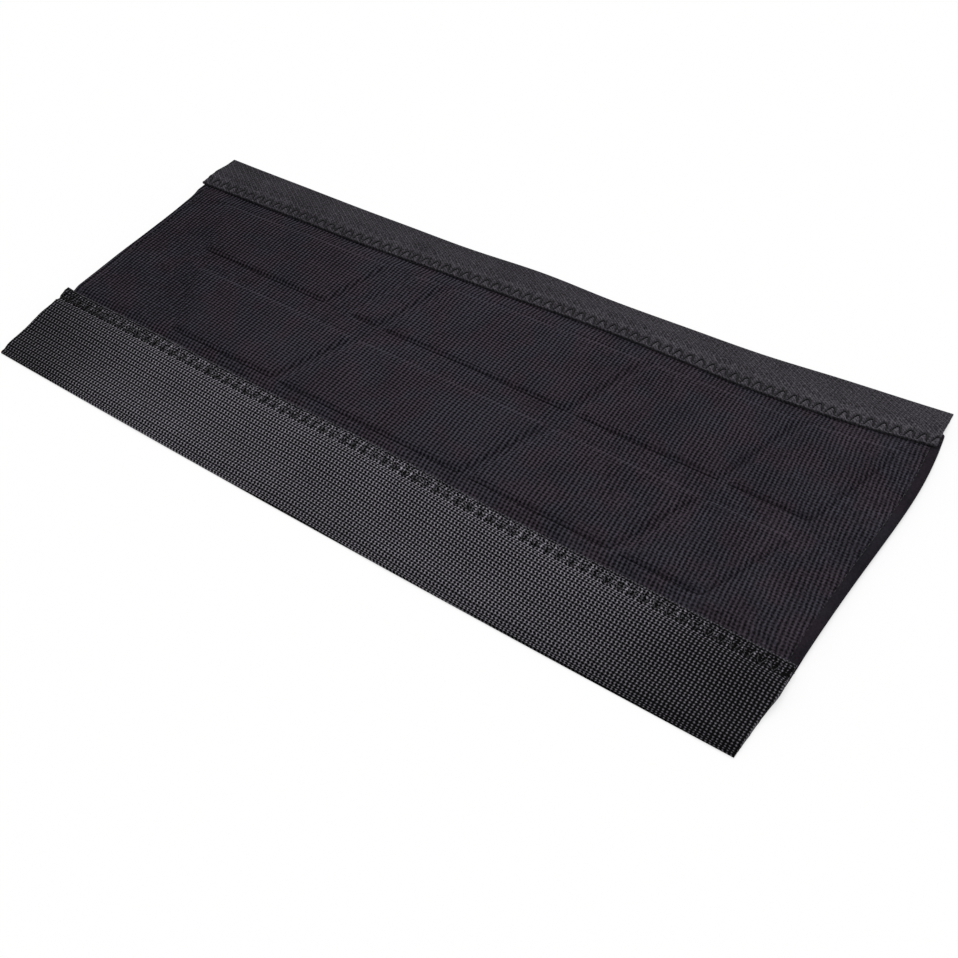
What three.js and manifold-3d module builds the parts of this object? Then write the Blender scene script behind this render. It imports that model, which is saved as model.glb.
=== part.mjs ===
// A chainstay protector: a tapered neoprene panel with a hook tape along one
// long edge and a loop tape along the other, lying flat and open.
//
// Millimetres. X runs along the centreline towards the wide end, Y from the
// hook tape towards the loop tape, Z up from the surface that it lies on.

import * as THREE from 'three';
import { mergeVertices } from 'three/addons/utils/BufferGeometryUtils.js';
import Module from 'manifold-3d';

// Plan
const seam_length = 250;
const wide_end_width = 129;
const narrow_end_width = 110;
const front_edge_bow = 1;
const hook_seam_bow = 0.2;
const loop_seam_bow = 2.5;
const back_edge_bow = 2.1;

// Neoprene body
const body_thickness = 2.6;
const pressed_edge_thickness = 1.8;
const edge_ramp_run = 4;
const wide_end_bow = 2.2;
const wide_end_bow_skew = 2.2;
const narrow_end_draw = 1.9;
const narrow_end_draw_power = 8;

// Rounded hem at each end of the body
const hem_width = 2.6;
const hem_groove_run = 1.1;
const hem_groove_depth = 0.45;
const hem_edge_thickness = 1.2;
const hem_round_run = 0.7;

// Hook tape
const hook_tape_width = 29.5;
const hook_tape_thickness = 1.4;
const hook_tape_fall_run = 11;
const hook_outer_selvage = 2.6;

// Loop tape
const loop_tape_width = 15;
const loop_tape_thickness = 1.1;
const loop_tape_fall_run = 6;

// Both tapes
const tape_selvage = 1.2;
const tape_selvage_thickness = 0.7;
const stitched_tape_thickness = 0.9;
const pile_slope_run = 0.6;
const tape_wide_end_inset = 1.4;
const hook_narrow_end_inset = 1.4;
const loop_narrow_end_inset = 0.6;
const loop_narrow_end_reach = 1.5;

// Zigzag seams
const zigzag_pitch = 3.6;
const zigzag_depth = 4.2;
const zigzag_edge_distance = 0.9;
const zigzag_thread_diameter = 0.5;
const zigzag_turn_rounding = 0.5;
const zigzag_end_distance = 1.6;

// Hem stitching
const hem_stitch_pitch = 2;
const hem_stitch_arch = 0.15;
const hem_thread_diameter = 0.4;

// Shared clearances of the sewing thread and of the seam
const thread_gap = 0.1;
const seam_margin = 0.5;

// Raised panels
const panel_rise = 0.8;
const panel_wall_run = 0.9;
const panel_corner_radius = 1.2;
const panel_border_width = 1;
const panel_border_depth = 0.25;
const back_row_margin = 6.5;
const front_row_margin = 5.3;
const channel_width = 7.4;
const channel_offset = 6;
const channel_slope = -0.021;
const nose_lean = -0.46;
const back_row_lean = 0.29;
const front_row_lean = 0.385;
const back_row_start_margin = 19.2;
const back_row_end_margin = 11.9;
const front_row_start_margin = 34;
const front_row_end_margin = 23.6;
const short_panel_gap = 9.6;
const panel_gap = 2.2;

// Panel lengths, as shares of the seam length
const back_first_panel_share = 0.225;
const front_first_panel_share = 0.202;
const short_panel_share = 0.043;
const long_panel_share = 0.26;
const middle_panel_share = 0.182;

// Mesh fineness
const thread_sides = 5;
const zigzag_steps = 6;
const ease_steps = 6;
const length_steps = 12;

const wasm = await Module();
wasm.setup();

// Widths and lines of the plan

const seam_start = -seam_length / 2;
const seam_end = seam_length / 2;
const stitched_zone = zigzag_edge_distance + zigzag_depth + zigzag_thread_diameter / 2 + thread_gap;
const seam_lap = stitched_zone + seam_margin;

const halfWidth = (x) => {
  const along = (x - seam_start) / seam_length;
  return THREE.MathUtils.lerp(narrow_end_width, wide_end_width, along) / 2;
};

// Share of a bow along the length: none at the ends and all of it in the middle.
const bowShare = (x) => 1 - ((2 * x) / seam_length) ** 2;

// The long outer edges, the tapes' inner edges, and the body's own edges that
// lie hidden under the tapes.
const frontEdge = (x) => -halfWidth(x) - front_edge_bow * bowShare(x);
const backEdge = (x) => halfWidth(x) - back_edge_bow * bowShare(x);
const hookTapeEdge = (x) => -halfWidth(x) + hook_tape_width + hook_seam_bow * bowShare(x);
const loopTapeEdge = (x) => halfWidth(x) - loop_tape_width - loop_seam_bow * bowShare(x);
const bodyFrontEdge = (x) => hookTapeEdge(x) - seam_lap;
const bodyBackEdge = (x) => loopTapeEdge(x) + seam_lap;

// Smooth step from 0 to 1 with level ends.
const ease = (t) => (1 - Math.cos(Math.PI * THREE.MathUtils.clamp(t, 0, 1))) / 2;

// Closed solid over a grid of points that each hold x, y, bottom and top.
// The rows follow each other along X and the points of a row along Y.
function gridSolid(rows) {
  const across = rows[0].length;
  const layer = rows.length * across;
  const positions = [];
  for (const height of ['top', 'bottom']) {
    for (const row of rows) {
      for (const point of row) {
        positions.push(point.x, point.y, point[height]);
      }
    }
  }
  const indices = [];
  const addQuad = (a, b, c, d) => indices.push(a, b, c, a, c, d);
  const top = (i, j) => i * across + j;
  const bottom = (i, j) => layer + top(i, j);
  const last_row = rows.length - 1;
  const last_point = across - 1;
  for (let i = 0; i < last_row; i += 1) {
    for (let j = 0; j < last_point; j += 1) {
      addQuad(top(i, j), top(i + 1, j), top(i + 1, j + 1), top(i, j + 1));
      addQuad(bottom(i, j), bottom(i, j + 1), bottom(i + 1, j + 1), bottom(i + 1, j));
    }
    addQuad(bottom(i, 0), bottom(i + 1, 0), top(i + 1, 0), top(i, 0));
    addQuad(top(i, last_point), top(i + 1, last_point), bottom(i + 1, last_point), bottom(i, last_point));
  }
  for (let j = 0; j < last_point; j += 1) {
    addQuad(bottom(0, j + 1), bottom(0, j), top(0, j), top(0, j + 1));
    addQuad(top(last_row, j + 1), top(last_row, j), bottom(last_row, j), bottom(last_row, j + 1));
  }
  const geometry = new THREE.BufferGeometry();
  geometry.setAttribute('position', new THREE.Float32BufferAttribute(positions, 3));
  geometry.setIndex(indices);
  return geometry;
}

// Joining and cutting

function toSolid(geometry) {
  const bare = geometry.clone();
  bare.deleteAttribute('normal');
  bare.deleteAttribute('uv');
  const merged = mergeVertices(bare, 1e-4);
  return new wasm.Manifold(new wasm.Mesh({
    numProp: 3,
    vertProperties: new Float32Array(merged.attributes.position.array),
    triVerts: new Uint32Array(merged.index.array),
  }));
}

function toGeometry(solid) {
  const mesh = solid.getMesh();
  const geometry = new THREE.BufferGeometry();
  geometry.setAttribute('position', new THREE.BufferAttribute(mesh.vertProperties, 3));
  geometry.setIndex(new THREE.BufferAttribute(mesh.triVerts, 1));
  return geometry;
}

// Neoprene body

// Thickness across the body, pressed thin where a tape is sewn on.
function thicknessAcross(x, y) {
  const from_front = y - hookTapeEdge(x) - seam_margin;
  const from_back = loopTapeEdge(x) - seam_margin - y;
  const rise = ease(Math.min(from_front, from_back) / edge_ramp_run);
  return THREE.MathUtils.lerp(pressed_edge_thickness, body_thickness, rise);
}

// Stations of the hem, from the end inwards, with the share of the thickness
// that the bottom and the top reach there.
const plain_station = { bottom: 0, top: 1 };
const hem_edge_share = hem_edge_thickness / body_thickness;
const hem_stations = [
  { inset: 0, bottom: (1 - hem_edge_share) / 2, top: (1 + hem_edge_share) / 2 },
  { ...plain_station, inset: hem_round_run },
  { ...plain_station, inset: hem_width - hem_groove_run },
  { inset: hem_width, bottom: 0, top: 1 - hem_groove_depth / body_thickness },
  { ...plain_station, inset: hem_width + hem_groove_run },
];

// Points across the body, as y at each station of its profile.
function bodyProfile(x) {
  const front = bodyFrontEdge(x);
  const back = bodyBackEdge(x);
  const front_ramp = hookTapeEdge(x) + seam_margin;
  const back_ramp = loopTapeEdge(x) - seam_margin;
  const field_start = front_ramp + edge_ramp_run;
  const field_end = back_ramp - edge_ramp_run;
  const profile = [front];
  for (let i = 0; i < ease_steps; i += 1) {
    profile.push(front_ramp + (edge_ramp_run * i) / ease_steps);
  }
  for (let i = 0; i <= ease_steps; i += 1) {
    profile.push(THREE.MathUtils.lerp(field_start, field_end, i / ease_steps));
  }
  for (let i = 1; i <= ease_steps; i += 1) {
    profile.push(field_end + (edge_ramp_run * i) / ease_steps);
  }
  profile.push(back);
  return profile;
}

// Position across the body at one of its ends, from 0 at the front edge to 1 at the back.
const shareAcross = (end, y) => {
  const front = bodyFrontEdge(end);
  return THREE.MathUtils.clamp((y - front) / (bodyBackEdge(end) - front), 0, 1);
};

// The narrow end is drawn in by its sewing, all but at the seams. The wide end
// bows out, furthest towards the loop tape.
function narrowEnd(y) {
  const off_middle = Math.abs(2 * shareAcross(seam_start, y) - 1);
  return seam_start + narrow_end_draw * (1 - off_middle ** narrow_end_draw_power);
}

function wideEnd(y) {
  const skewed = shareAcross(seam_end, y) ** wide_end_bow_skew;
  return seam_end + wide_end_bow * Math.sin(Math.PI * skewed);
}

const bodyEnd = (end, y) => (end === seam_start ? narrowEnd(y) : wideEnd(y));

// One row of points across the body, at the plan position along.
function bodyRow(along, station, xAt) {
  return bodyProfile(along).map((y) => {
    const thickness = thicknessAcross(along, y);
    return { x: xAt(y), y, bottom: thickness * station.bottom, top: thickness * station.top };
  });
}

function bodyRows() {
  const narrow = hem_stations.map((station) => (
    bodyRow(seam_start, station, (y) => narrowEnd(y) + station.inset)
  ));
  const wide = hem_stations.map((station) => (
    bodyRow(seam_end, station, (y) => wideEnd(y) - station.inset)
  ));
  const between = [];
  for (let i = 1; i < length_steps; i += 1) {
    const along = THREE.MathUtils.lerp(seam_start, seam_end, i / length_steps);
    between.push(bodyRow(along, plain_station, () => along));
  }
  return [...narrow, ...between, ...wide.reverse()];
}

// The four lines that bound the two rows of panels.
const backRowBack = (x) => loopTapeEdge(x) - back_row_margin;
const backRowFront = (x) => channel_offset + channel_slope * x + channel_width / 2;
const frontRowBack = (x) => channel_offset + channel_slope * x - channel_width / 2;
const frontRowFront = (x) => hookTapeEdge(x) + front_row_margin;

function panelOutline(row, start, length, start_lean, end_lean) {
  const corner = (x, line, lean) => {
    const y = line(x);
    const middle = (row.front(x) + row.back(x)) / 2;
    const leant = x + lean * (y - middle);
    return new THREE.Vector2(leant, line(leant));
  };
  return [
    corner(start, row.front, start_lean),
    corner(start + length, row.front, end_lean),
    corner(start + length, row.back, end_lean),
    corner(start, row.back, start_lean),
  ];
}

// Corners drawn in by the same distance from every side.
function insetCorners(corners, distance) {
  return corners.map((corner, i) => {
    const before = corners[(i + corners.length - 1) % corners.length].clone().sub(corner).normalize();
    const after = corners[(i + 1) % corners.length].clone().sub(corner).normalize();
    const sine = Math.abs(before.cross(after));
    return corner.clone().add(before.add(after).multiplyScalar(distance / sine));
  });
}

// Outline with its corners rounded by curves that start one radius away.
function roundedShape(corners, radius) {
  const shape = new THREE.Shape();
  corners.forEach((corner, i) => {
    const before = corners[(i + corners.length - 1) % corners.length];
    const after = corners[(i + 1) % corners.length];
    const arrive = corner.clone().add(before.clone().sub(corner).setLength(radius));
    const leave = corner.clone().add(after.clone().sub(corner).setLength(radius));
    if (i === 0) {
      shape.moveTo(arrive.x, arrive.y);
    } else {
      shape.lineTo(arrive.x, arrive.y);
    }
    shape.quadraticCurveTo(corner.x, corner.y, leave.x, leave.y);
  });
  shape.closePath();
  return shape;
}

// The two rows, each with all its panels but the last.
const shared_panels = [
  { share: long_panel_share, gap: panel_gap },
  { share: middle_panel_share, gap: panel_gap },
];
const back_row = {
  front: backRowFront,
  back: backRowBack,
  lean: back_row_lean,
  start: seam_start + back_row_start_margin,
  end: seam_end - back_row_end_margin,
  panels: [
    { share: back_first_panel_share, gap: short_panel_gap },
    { share: short_panel_share, gap: panel_gap },
    ...shared_panels,
  ],
};
const front_row = {
  front: frontRowFront,
  back: frontRowBack,
  lean: front_row_lean,
  start: seam_start + front_row_start_margin,
  end: seam_end - front_row_end_margin,
  panels: [{ share: front_first_panel_share, gap: panel_gap }, ...shared_panels],
};

// Outlines of a row's panels. The last panel fills what the others leave.
function rowOutlines(row) {
  let start = row.start;
  const outlines = row.panels.map(({ share, gap }, i) => {
    const length = share * seam_length;
    const outline = panelOutline(row, start, length, i === 0 ? nose_lean : row.lean, row.lean);
    start += length + gap;
    return outline;
  });
  return [...outlines, panelOutline(row, start, row.end - start, row.lean, row.lean)];
}

// A raised panel, rounded over at its top edge and rooted in the body.
function raisedPanel(outline) {
  const root = body_thickness / 4;
  const top_outline = roundedShape(insetCorners(outline, panel_wall_run), panel_corner_radius);
  const geometry = new THREE.ExtrudeGeometry(top_outline, {
    depth: root,
    curveSegments: 3,
    bevelEnabled: true,
    bevelThickness: panel_rise,
    bevelSize: panel_wall_run,
    bevelSegments: 2,
  });
  geometry.translate(0, 0, body_thickness - root);
  return geometry;
}

// The shallow pressed border around a raised panel.
function pressedBorder(outline) {
  const geometry = new THREE.ExtrudeGeometry(roundedShape(outline, panel_corner_radius), {
    depth: body_thickness,
    curveSegments: 3,
    bevelEnabled: true,
    bevelThickness: panel_border_depth,
    bevelSize: panel_border_width,
    bevelSegments: 1,
  });
  geometry.translate(0, 0, body_thickness);
  return geometry;
}

function bodyGeometry() {
  let body = toSolid(gridSolid(bodyRows()));
  const outlines = [...rowOutlines(back_row), ...rowOutlines(front_row)];
  for (const outline of outlines) {
    body = body.subtract(toSolid(pressedBorder(outline)));
  }
  for (const outline of outlines) {
    body = body.add(toSolid(raisedPanel(outline)));
  }
  return toGeometry(body);
}

// Tapes

// Height of a tape's underside at a distance from its inner edge: flat on the
// body's pressed edge, then falling to the surface that the protector lies on.
function tapeUnderside(distance, fall_run) {
  const fallen = ease((distance - seam_lap - seam_margin) / fall_run);
  return pressed_edge_thickness * (1 - fallen);
}

// Distances from the inner edge, with the tape's thickness at each.
function tapeProfile(width, full_thickness, fall_run, outer_selvage) {
  const profile = [
    { distance: 0, thickness: tape_selvage_thickness },
    { distance: tape_selvage - pile_slope_run / 2, thickness: tape_selvage_thickness },
    { distance: tape_selvage + pile_slope_run / 2, thickness: stitched_tape_thickness },
    { distance: stitched_zone, thickness: stitched_tape_thickness },
  ];
  const fall_start = seam_lap + seam_margin;
  for (let i = 0; i <= ease_steps; i += 1) {
    profile.push({ distance: fall_start + (fall_run * i) / ease_steps, thickness: full_thickness });
  }
  profile.push({ distance: width - outer_selvage - pile_slope_run, thickness: full_thickness });
  profile.push({ distance: width - outer_selvage, thickness: tape_selvage_thickness });
  profile.push({ distance: width, thickness: tape_selvage_thickness });
  return profile;
}

// A tape between its inner and its outer edge line, with its ends cut slightly
// askew. The outer selvage stays at the outer edge where the tape bows.
function tapeGeometry({ innerEdge, outerEdge, width, profile, fall_run, narrow_end, narrow_inset }) {
  const outward = Math.sign(outerEdge(0) - innerEdge(0));
  const rowAt = (along, inset) => {
    const row = profile.map(({ distance, thickness }) => {
      const x = along + (inset * distance) / width;
      const bowed = Math.abs(outerEdge(x) - innerEdge(x)) - width;
      const flat = distance > seam_lap + seam_margin + fall_run;
      const offset = distance + (flat ? bowed : 0);
      const bottom = tapeUnderside(distance, fall_run);
      return { x, y: innerEdge(x) + outward * offset, bottom, top: bottom + thickness };
    });
    return outward > 0 ? row : row.reverse();
  };
  const rows = [rowAt(narrow_end, narrow_inset)];
  for (let i = 1; i < length_steps; i += 1) {
    rows.push(rowAt(THREE.MathUtils.lerp(seam_start, seam_end, i / length_steps), 0));
  }
  rows.push(rowAt(seam_end, -tape_wide_end_inset));
  return gridSolid(rows);
}

// Sewing threads

const thread_section = new THREE.Shape(
  Array.from({ length: thread_sides }, (_, i) => {
    const angle = (2 * Math.PI * i) / thread_sides;
    return new THREE.Vector2(Math.cos(angle), Math.sin(angle));
  }),
);

function scaledSection(radius) {
  return new THREE.Shape(thread_section.getPoints().map((point) => point.clone().multiplyScalar(radius)));
}

// Thread that runs to and fro across a tape's lap while it goes along the seam,
// with a round turn at each side. It is sampled by stitches, and not by length.
class ZigzagLine extends THREE.Curve {
  constructor(innerEdge, outward, stitches) {
    super();
    this.innerEdge = innerEdge;
    this.outward = outward;
    this.stitches = stitches;
  }

  getUtoTmapping(u) {
    return u;
  }

  getPoint(t, target = new THREE.Vector3()) {
    const turn = 2 * Math.PI * t * this.stitches;
    const reach = (this.stitches * zigzag_pitch) / 2;
    const rounding = (zigzag_turn_rounding * Math.sin(2 * turn)) / 2;
    const x = THREE.MathUtils.lerp(-reach, reach, t) + (rounding * zigzag_pitch) / (2 * Math.PI);
    const distance = zigzag_edge_distance + (zigzag_depth * (1 - Math.cos(turn))) / 2;
    const z = pressed_edge_thickness + stitched_tape_thickness + thread_gap + zigzag_thread_diameter / 2;
    return target.set(x, this.innerEdge(x) + this.outward * distance, z);
  }
}

function zigzagGeometry(innerEdge, outward) {
  const stitches = Math.floor((seam_length - 2 * zigzag_end_distance) / zigzag_pitch);
  return new THREE.ExtrudeGeometry(scaledSection(zigzag_thread_diameter / 2), {
    steps: stitches * zigzag_steps,
    extrudePath: new ZigzagLine(innerEdge, outward, stitches),
  });
}

// Thread that lies in the groove of a hem, with a small arch at each stitch.
class HemLine extends THREE.Curve {
  constructor(end, stitches) {
    super();
    this.end = end;
    this.stitches = stitches;
    this.arcLengthDivisions = stitches * 8;
  }

  getPoint(t, target = new THREE.Vector3()) {
    const inward = -Math.sign(this.end);
    const start = hookTapeEdge(this.end) + seam_margin;
    const finish = loopTapeEdge(this.end) - seam_margin;
    const y = THREE.MathUtils.lerp(start, finish, t);
    const x = bodyEnd(this.end, y) + inward * hem_width;
    const groove_share = 1 - hem_groove_depth / body_thickness;
    const surface = thicknessAcross(this.end, y) * groove_share;
    const arch = hem_stitch_arch * Math.sin(Math.PI * this.stitches * t) ** 2;
    return target.set(x, y, surface + thread_gap + hem_thread_diameter / 2 + arch);
  }
}

function hemThreadGeometry(end) {
  const span = loopTapeEdge(end) - hookTapeEdge(end) - 2 * seam_margin;
  const stitches = Math.floor(span / hem_stitch_pitch);
  return new THREE.ExtrudeGeometry(scaledSection(hem_thread_diameter / 2), {
    steps: stitches * 2,
    extrudePath: new HemLine(end, stitches),
  });
}

// Colours and surfaces

const neoprene_knit = new THREE.MeshStandardMaterial({ color: 0x2d2930, roughness: 0.88, metalness: 0 });
const hook_pile = new THREE.MeshStandardMaterial({ color: 0x403e43, roughness: 0.45, metalness: 0 });
const tape_weave = new THREE.MeshStandardMaterial({ color: 0x3c3a3f, roughness: 0.7, metalness: 0 });
const sewing_thread = new THREE.MeshStandardMaterial({ color: 0x48464b, roughness: 0.55, metalness: 0 });

const protector = new THREE.Group();

function addPart(name, geometry, material) {
  const part = new THREE.Mesh(geometry, material);
  part.name = name;
  protector.add(part);
}

addPart('body_panel', bodyGeometry(), neoprene_knit);
addPart('hook_tape', tapeGeometry({
  innerEdge: hookTapeEdge,
  outerEdge: frontEdge,
  width: hook_tape_width,
  profile: tapeProfile(hook_tape_width, hook_tape_thickness, hook_tape_fall_run, hook_outer_selvage),
  fall_run: hook_tape_fall_run,
  narrow_end: seam_start,
  narrow_inset: hook_narrow_end_inset,
}), hook_pile);
addPart('loop_tape', tapeGeometry({
  innerEdge: loopTapeEdge,
  outerEdge: backEdge,
  width: loop_tape_width,
  profile: tapeProfile(loop_tape_width, loop_tape_thickness, loop_tape_fall_run, tape_selvage),
  fall_run: loop_tape_fall_run,
  narrow_end: seam_start - loop_narrow_end_reach,
  narrow_inset: loop_narrow_end_inset,
}), tape_weave);
addPart('hook_tape_zigzag_thread', zigzagGeometry(hookTapeEdge, -1), sewing_thread);
addPart('loop_tape_zigzag_thread', zigzagGeometry(loopTapeEdge, 1), sewing_thread);
addPart('narrow_end_hem_thread', hemThreadGeometry(seam_start), sewing_thread);
addPart('wide_end_hem_thread', hemThreadGeometry(seam_end), sewing_thread);

// The origin is under the middle of the whole outline.
protector.position.x = (loop_narrow_end_reach - wide_end_bow) / 2;

export default protector;
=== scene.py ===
"""Chainstay protector: knit-faced neoprene, two sewn tapes and their threads, lying flat on a white floor."""

import logging
import math
import random
from dataclasses import dataclass, field
from enum import Enum
from typing import Sequence

import bmesh
import bpy
import numpy as np
from mathutils import Matrix, Vector


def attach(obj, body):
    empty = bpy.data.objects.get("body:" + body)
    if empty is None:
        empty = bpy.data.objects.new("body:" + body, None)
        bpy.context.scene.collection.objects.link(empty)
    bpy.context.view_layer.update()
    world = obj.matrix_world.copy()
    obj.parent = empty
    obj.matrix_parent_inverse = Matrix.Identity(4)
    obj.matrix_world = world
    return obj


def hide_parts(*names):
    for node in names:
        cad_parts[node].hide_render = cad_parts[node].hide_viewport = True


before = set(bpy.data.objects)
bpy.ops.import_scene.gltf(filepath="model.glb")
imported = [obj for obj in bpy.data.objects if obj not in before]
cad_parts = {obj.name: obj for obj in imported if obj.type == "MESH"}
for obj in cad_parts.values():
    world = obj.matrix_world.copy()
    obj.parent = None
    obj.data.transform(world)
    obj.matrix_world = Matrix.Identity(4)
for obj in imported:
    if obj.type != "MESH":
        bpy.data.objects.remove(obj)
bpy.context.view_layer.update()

MM = 0.001
UV_SPAN = 260.0
TAPE_UV = "tape_plan"
SEEN_POWER = 2.2
LOG = logging.getLogger("chainstay_protector")


# Plan of the protector


@dataclass(frozen=True)
class Wander:
    """Slight drift of a hand-guided seam or edge, in millimetres at stations along it."""

    stations: tuple[float, ...]
    drifts: tuple[float, ...]

    def at(self, x: np.ndarray) -> np.ndarray:
        """Drift at x, on a smooth curve through the stations.

        Args:
            x: Places along, in millimetres.

        Returns:
            The drift across at each place.
        """
        places, drifts = np.array(self.stations), np.array(self.drifts)
        slopes = np.gradient(drifts, places)
        x = np.clip(x, places[0], places[-1])
        i = np.clip(np.searchsorted(places, x, side="right") - 1, 0, len(places) - 2)
        run = places[i + 1] - places[i]
        t = (x - places[i]) / run
        value = (1 + 2 * t) * (1 - t) ** 2 * drifts[i] + t**2 * (3 - 2 * t) * drifts[i + 1]
        return value + run * (t * (1 - t) ** 2 * slopes[i] - t**2 * (1 - t) * slopes[i + 1])


@dataclass(frozen=True)
class Plan:
    """The lines of the flat protector, in millimetres from the middle of the seams."""

    seam_length: float = 250.0
    wide_end_width: float = 129.0
    narrow_end_width: float = 110.0
    front_edge_bow: float = 1.0
    hook_seam_bow: float = 0.2
    loop_seam_bow: float = 2.5
    back_edge_bow: float = 2.1
    wide_end_bow: float = 2.2
    wide_end_bow_skew: float = 2.2
    hook_tape_width: float = 29.5
    loop_tape_width: float = 15.0
    seam_lap: float = 5.95
    seam_margin: float = 0.5
    pressed_edge: float = 1.8
    body_thickness: float = 2.6
    edge_ramp: float = 4.0
    origin_shift: float = -0.35
    hook_seam_wander: Wander = Wander(
        (-125, -92, -56, -38, -8, 16, 32, 52, 85, 125),
        (1.2, 1.1, 0.8, 0.7, 1.15, 0.6, 0.1, -0.2, 0.0, 0.0),
    )
    loop_seam_wander: Wander = Wander(
        (-125, -110, -86, -62, -32, -14, 28, 40, 52, 66, 88, 100, 112, 125),
        (-1.5, -1.4, -1.0, -0.9, 0.0, 0.2, 0.5, 0.0, -0.7, -1.75, -2.2, -1.9, -1.1, 0.1),
    )
    narrow_end_draw: Wander = Wander(
        (-40, -20, -2, 8, 26, 33, 36.5, 42),
        (0.9, 1.1, 1.15, 1.45, 1.5, 1.05, 0.15, -0.1),
    )
    back_edge_wander: Wander = Wander(
        (-125, -60, -34, -4, 20, 45, 70, 95, 125),
        (0.5, 0.3, 0.1, 1.0, 0.0, -0.5, -0.75, 0.2, 1.0),
    )

    @property
    def half_length(self) -> float:
        """Half of the seams' length."""
        return self.seam_length / 2

    def half_width(self, x: np.ndarray) -> np.ndarray:
        """Half of the straight-edged width at x."""
        share = x / self.seam_length + 0.5
        return (self.narrow_end_width + (self.wide_end_width - self.narrow_end_width) * share) / 2

    def bow_share(self, x: np.ndarray) -> np.ndarray:
        """Share of a bow: none at the ends and all of it in the middle."""
        return 1 - (2 * x / self.seam_length) ** 2

    def front_edge(self, x: np.ndarray) -> np.ndarray:
        """Outer edge of the hook tape."""
        return -self.half_width(x) - self.front_edge_bow * self.bow_share(x)

    def back_edge(self, x: np.ndarray) -> np.ndarray:
        """Outer edge of the loop tape."""
        straight = self.half_width(x) - self.back_edge_bow * self.bow_share(x)
        return straight + self.back_edge_wander.at(x)

    def hook_line(self, x: np.ndarray) -> np.ndarray:
        """Inner edge of the hook tape, before its wander."""
        return -self.half_width(x) + self.hook_tape_width + self.hook_seam_bow * self.bow_share(x)

    def hook_seam(self, x: np.ndarray) -> np.ndarray:
        """Inner edge of the hook tape."""
        return self.hook_line(x) + self.hook_seam_wander.at(x)

    def loop_seam(self, x: np.ndarray) -> np.ndarray:
        """Inner edge of the loop tape."""
        straight = self.half_width(x) - self.loop_tape_width - self.loop_seam_bow * self.bow_share(x)
        return straight + self.loop_seam_wander.at(x)

    def share_across(self, end: float, y: np.ndarray) -> np.ndarray:
        """Place across one end of the body, from 0 at the front to 1 at the back."""
        front = self.hook_line(end) - self.seam_lap
        back = self.loop_seam(end) + self.seam_lap
        return np.clip((y - front) / (back - front), 0, 1)

    def narrow_end(self, y: np.ndarray) -> np.ndarray:
        """The body's narrow end, drawn in all but at the loop seam."""
        return -self.half_length + self.narrow_end_draw.at(y)

    def wide_end(self, y: np.ndarray) -> np.ndarray:
        """The body's wide end, bowed out towards the loop tape."""
        skewed = self.share_across(self.half_length, y) ** self.wide_end_bow_skew
        return self.half_length + self.wide_end_bow * np.sin(np.pi * skewed)


PLAN = Plan()


def ease(share: np.ndarray) -> np.ndarray:
    """Smooth step from 0 to 1 with level ends."""
    return (1 - np.cos(np.pi * np.clip(share, 0, 1))) / 2


def dent(distance: np.ndarray, reach: float) -> np.ndarray:
    """Bell-shaped weight that is 1 at no distance and fades over the reach."""
    return np.exp(-((distance / reach) ** 2))


# Shader maths


class Value:
    """A number that varies over a surface. Arithmetic on it adds Math nodes."""

    def __init__(self, shader: "Shader", socket: bpy.types.NodeSocket) -> None:
        """Wraps a socket.

        Args:
            shader: The shader that holds the node.
            socket: The node's output.
        """
        self.shader = shader
        self.socket = socket

    def _math(self, operation: str, *terms: object) -> "Value":
        """Adds one Math node over the terms."""
        node = self.shader.node("ShaderNodeMath", {"operation": operation}, dict(enumerate(terms)))
        return Value(self.shader, node.outputs[0])

    def __add__(self, other: object) -> "Value":
        """Sum."""
        return self._math("ADD", self, other)

    __radd__ = __add__

    def __sub__(self, other: object) -> "Value":
        """Difference."""
        return self._math("SUBTRACT", self, other)

    def __rsub__(self, other: object) -> "Value":
        """Difference, the other way round."""
        return self._math("SUBTRACT", other, self)

    def __mul__(self, other: object) -> "Value":
        """Product."""
        return self._math("MULTIPLY", self, other)

    __rmul__ = __mul__

    def __truediv__(self, other: object) -> "Value":
        """Quotient."""
        return self._math("DIVIDE", self, other)

    def __rtruediv__(self, other: object) -> "Value":
        """Quotient, the other way round."""
        return self._math("DIVIDE", other, self)

    def __pow__(self, power: float) -> "Value":
        """Power."""
        return self._math("POWER", self, power)

    def __neg__(self) -> "Value":
        """Negative."""
        return self * -1.0

    def __abs__(self) -> "Value":
        """Absolute value."""
        return self._math("ABSOLUTE", self)

    def fraction(self) -> "Value":
        """Part after the decimal point."""
        return self._math("FRACT", self)

    def wave(self, period: float) -> "Value":
        """Cosine from -1 to 1 over the period."""
        return self._math("COSINE", self * (2 * math.pi / period))

    def bell(self, reach: float) -> "Value":
        """Weight that is 1 at zero and fades over the reach."""
        scaled = self / reach
        return self._math("EXPONENT", -(scaled * scaled))

    def step(self, low: float, high: float) -> "Value":
        """Smooth step from 0 at low to 1 at high."""
        settings = {"interpolation_type": "SMOOTHSTEP", "clamp": True}
        inputs = {"Value": self, "From Min": low, "From Max": high}
        return Value(self.shader, self.shader.node("ShaderNodeMapRange", settings, inputs).outputs[0])

    def least(self, other: object) -> "Value":
        """The smaller of the two."""
        return self._math("MINIMUM", self, other)

    def most(self, other: object) -> "Value":
        """The larger of the two."""
        return self._math("MAXIMUM", self, other)

    def tone(self, lowest: float, brightest: float) -> "Value":
        """Share of a colour for a level that is judged by eye."""
        return self.most(lowest) ** SEEN_POWER / brightest


Colour = tuple[float, float, float]
WHITE: Colour = (1.0, 1.0, 1.0)


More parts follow.
